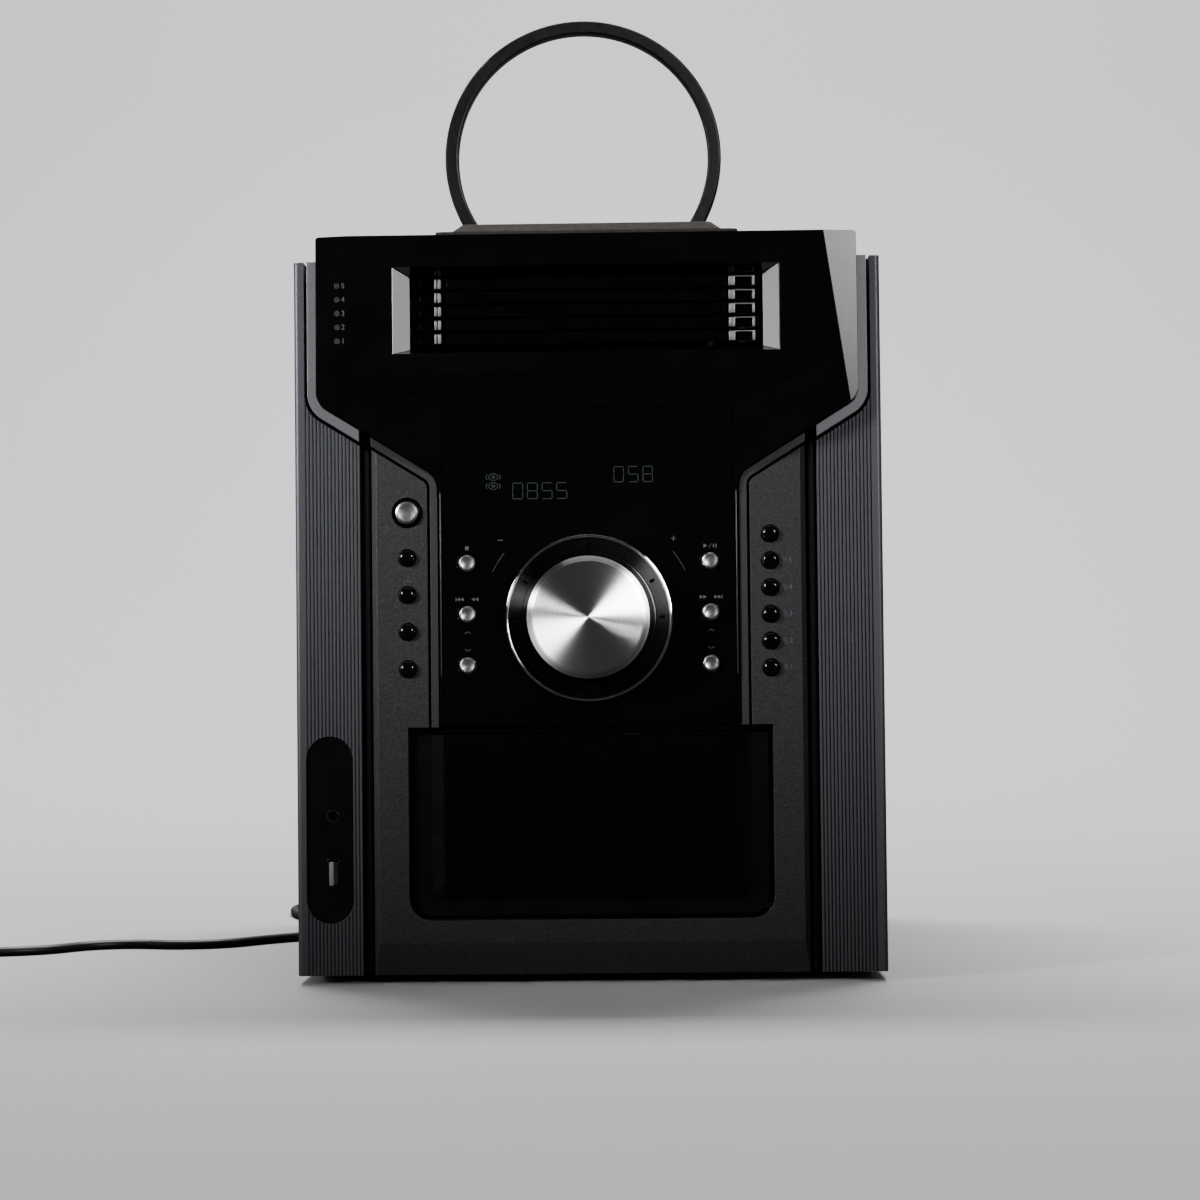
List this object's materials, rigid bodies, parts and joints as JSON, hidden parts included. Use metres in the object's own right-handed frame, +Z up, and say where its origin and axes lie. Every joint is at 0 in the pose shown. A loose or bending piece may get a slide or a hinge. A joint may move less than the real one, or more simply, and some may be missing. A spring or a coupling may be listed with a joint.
{
  "type": "mini stereo system",
  "caption": "Tall black mini stereo with stacked slide-out disc trays, a large volume knob, key panels, a cassette door, a loop aerial on top and a coiled mains lead.",
  "frame": {"origin": "on the surface the feet stand on, midway between the cabinet's sides and midway between the volume knob's face and the rear terminals", "axes": "+X to the right as seen from the front, +Y to the back, +Z up"},
  "size_m": [0.5341, 0.4531, 0.4814],
  "materials": {
    "gloss_black": "high gloss",
    "smoked_panel": "high gloss",
    "textured_black": "fine texture",
    "pillar_grey": "satin",
    "band_silver": "satin paint",
    "silver_keys": "satin silver",
    "black_keys": "satin",
    "knob_metal": "spun and polished",
    "ring_plastic": "dark with a chromed lip",
    "tray_plastic": "satin",
    "painted_steel": "fine black powder coat",
    "cover_steel": "matte",
    "bare_steel": "zinc plated",
    "inner_plastic": "moulded",
    "aerial_plastic": "satin",
    "board_green": "solder mask",
    "tube_glass": "clear with dark segments",
    "deck_metal": "bare",
    "core_iron": "varnished laminations",
    "foot_rubber": "matte",
    "cord_rubber": "satin sheath"
  },
  "bodies": {
    "cabinet": {"aerial_stand": "aerial_plastic", "bottom_chassis": "bare_steel", "cabinet_screws": "bare_steel", "cassette_mechanism": "deck_metal", "changer_frame": "inner_plastic", "circuit_boards": "board_green", "contour_bands": "band_silver", "cord_relief": "cord_rubber", "display_tube": "tube_glass", "display_window": "smoked_panel", "fan_frame": "inner_plastic", "front_frame": "inner_plastic", "front_sockets": "inner_plastic", "key_panel": "textured_black", "left_pillar": "pillar_grey", "left_side_panel": "painted_steel", "loop_aerial": "aerial_plastic", "mains_coil": "cord_rubber", "mains_cord": "cord_rubber", "mains_plug": "cord_rubber", "power_transformer": "core_iron", "rear_panel": "painted_steel", "rear_terminals": "inner_plastic", "right_pillar": "pillar_grey", "right_side_panel": "painted_steel", "rubber_feet": "foot_rubber", "socket_plate": "gloss_black", "top_cover": "cover_steel", "upper_fascia": "gloss_black", "volume_ring": "ring_plastic"},
    "disc_tray_1": {"disc_tray_1": "tray_plastic"},
    "disc_tray_2": {"disc_tray_2": "tray_plastic"},
    "disc_tray_3": {"disc_tray_3": "tray_plastic"},
    "disc_tray_4": {"disc_tray_4": "tray_plastic"},
    "disc_tray_5": {"disc_tray_5": "tray_plastic"},
    "volume_knob": {"volume_knob": "knob_metal"},
    "cassette_door": {"cassette_door": "gloss_black"},
    "supply_reel": {"supply_reel": "inner_plastic"},
    "take_up_reel": {"take_up_reel": "inner_plastic"},
    "fan_rotor": {"fan_rotor": "inner_plastic"},
    "optical_carriage": {"optical_carriage": "inner_plastic"},
    "disc_spindle": {"disc_spindle": "inner_plastic"},
    "laser_sled": {"laser_sled": "deck_metal"},
    "power_button": {"power_button": "silver_keys"},
    "display_key": {"display_key": "black_keys"},
    "mode_key": {"mode_key": "black_keys"},
    "timer_key": {"timer_key": "black_keys"},
    "dimmer_key": {"dimmer_key": "black_keys"},
    "open_close_key": {"open_close_key": "black_keys"},
    "disc_key_5": {"disc_key_5": "black_keys"},
    "disc_key_4": {"disc_key_4": "black_keys"},
    "disc_key_3": {"disc_key_3": "black_keys"},
    "disc_key_2": {"disc_key_2": "black_keys"},
    "disc_key_1": {"disc_key_1": "black_keys"},
    "stop_key": {"stop_key": "silver_keys"},
    "skip_back_key": {"skip_back_key": "silver_keys"},
    "tuning_key": {"tuning_key": "silver_keys"},
    "play_key": {"play_key": "silver_keys"},
    "skip_forward_key": {"skip_forward_key": "silver_keys"},
    "preset_key": {"preset_key": "silver_keys"}
  },
  "joints": [
    {"name": "tray_1_slide", "type": "slide", "parent": "cabinet", "child": "disc_tray_1", "axis": [0, -1, 0], "range_m": [0, 0.146]},
    {"name": "tray_2_slide", "type": "slide", "parent": "cabinet", "child": "disc_tray_2", "axis": [0, -1, 0], "range_m": [0, 0.146]},
    {"name": "tray_3_slide", "type": "slide", "parent": "cabinet", "child": "disc_tray_3", "axis": [0, -1, 0], "range_m": [0, 0.146]},
    {"name": "tray_4_slide", "type": "slide", "parent": "cabinet", "child": "disc_tray_4", "axis": [0, -1, 0], "range_m": [0, 0.146]},
    {"name": "tray_5_slide", "type": "slide", "parent": "cabinet", "child": "disc_tray_5", "axis": [0, -1, 0], "range_m": [0, 0.146]},
    {"name": "volume_turn", "type": "hinge", "parent": "cabinet", "child": "volume_knob", "pos_m": [0, -0.171, 0.1606], "axis": [0, 1, 0], "continuous": true},
    {"name": "cassette_door_hinge", "type": "hinge", "parent": "cabinet", "child": "cassette_door", "pos_m": [0, -0.157, 0.033], "axis": [1, 0, 0], "range_deg": [0, 35]},
    {"name": "supply_reel_turn", "type": "hinge", "parent": "cabinet", "child": "supply_reel", "pos_m": [-0.02125, -0.143, 0.072], "axis": [0, 1, 0], "continuous": true},
    {"name": "take_up_reel_turn", "type": "hinge", "parent": "cabinet", "child": "take_up_reel", "pos_m": [0.02125, -0.143, 0.072], "axis": [0, 1, 0], "continuous": true},
    {"name": "fan_turn", "type": "hinge", "parent": "cabinet", "child": "fan_rotor", "pos_m": [0.074, 0.164, 0.222], "axis": [0, 1, 0], "continuous": true},
    {"name": "carriage_lift", "type": "slide", "parent": "cabinet", "child": "optical_carriage", "axis": [0, 0, 1], "range_m": [0, 0.0244]},
    {"name": "spindle_turn", "type": "hinge", "parent": "optical_carriage", "child": "disc_spindle", "pos_m": [0, 0.051, 0.27], "axis": [0, 0, 1], "continuous": true},
    {"name": "sled_slide", "type": "slide", "parent": "optical_carriage", "child": "laser_sled", "axis": [0, 1, 0], "range_m": [0, 0.034]},
    {"name": "power_button_press", "type": "slide", "parent": "cabinet", "child": "power_button", "axis": [0, 1, 0], "range_m": [0, 0.001], "stiffness_N_per_m": 300},
    {"name": "display_key_press", "type": "slide", "parent": "cabinet", "child": "display_key", "axis": [0, 1, 0], "range_m": [0, 0.001], "stiffness_N_per_m": 300},
    {"name": "mode_key_press", "type": "slide", "parent": "cabinet", "child": "mode_key", "axis": [0, 1, 0], "range_m": [0, 0.001], "stiffness_N_per_m": 300},
    {"name": "timer_key_press", "type": "slide", "parent": "cabinet", "child": "timer_key", "axis": [0, 1, 0], "range_m": [0, 0.001], "stiffness_N_per_m": 300},
    {"name": "dimmer_key_press", "type": "slide", "parent": "cabinet", "child": "dimmer_key", "axis": [0, 1, 0], "range_m": [0, 0.001], "stiffness_N_per_m": 300},
    {"name": "open_close_key_press", "type": "slide", "parent": "cabinet", "child": "open_close_key", "axis": [0, 1, 0], "range_m": [0, 0.001], "stiffness_N_per_m": 300},
    {"name": "disc_key_5_press", "type": "slide", "parent": "cabinet", "child": "disc_key_5", "axis": [0, 1, 0], "range_m": [0, 0.001], "stiffness_N_per_m": 300},
    {"name": "disc_key_4_press", "type": "slide", "parent": "cabinet", "child": "disc_key_4", "axis": [0, 1, 0], "range_m": [0, 0.001], "stiffness_N_per_m": 300},
    {"name": "disc_key_3_press", "type": "slide", "parent": "cabinet", "child": "disc_key_3", "axis": [0, 1, 0], "range_m": [0, 0.001], "stiffness_N_per_m": 300},
    {"name": "disc_key_2_press", "type": "slide", "parent": "cabinet", "child": "disc_key_2", "axis": [0, 1, 0], "range_m": [0, 0.001], "stiffness_N_per_m": 300},
    {"name": "disc_key_1_press", "type": "slide", "parent": "cabinet", "child": "disc_key_1", "axis": [0, 1, 0], "range_m": [0, 0.001], "stiffness_N_per_m": 300},
    {"name": "stop_key_press", "type": "slide", "parent": "cabinet", "child": "stop_key", "axis": [0, 1, 0], "range_m": [0, 0.001], "stiffness_N_per_m": 300},
    {"name": "skip_back_key_press", "type": "slide", "parent": "cabinet", "child": "skip_back_key", "axis": [0, 1, 0], "range_m": [0, 0.001], "stiffness_N_per_m": 300},
    {"name": "tuning_key_press", "type": "slide", "parent": "cabinet", "child": "tuning_key", "axis": [0, 1, 0], "range_m": [0, 0.001], "stiffness_N_per_m": 300},
    {"name": "play_key_press", "type": "slide", "parent": "cabinet", "child": "play_key", "axis": [0, 1, 0], "range_m": [0, 0.001], "stiffness_N_per_m": 300},
    {"name": "skip_forward_key_press", "type": "slide", "parent": "cabinet", "child": "skip_forward_key", "axis": [0, 1, 0], "range_m": [0, 0.001], "stiffness_N_per_m": 300},
    {"name": "preset_key_press", "type": "slide", "parent": "cabinet", "child": "preset_key", "axis": [0, 1, 0], "range_m": [0, 0.001], "stiffness_N_per_m": 300}
  ]
}
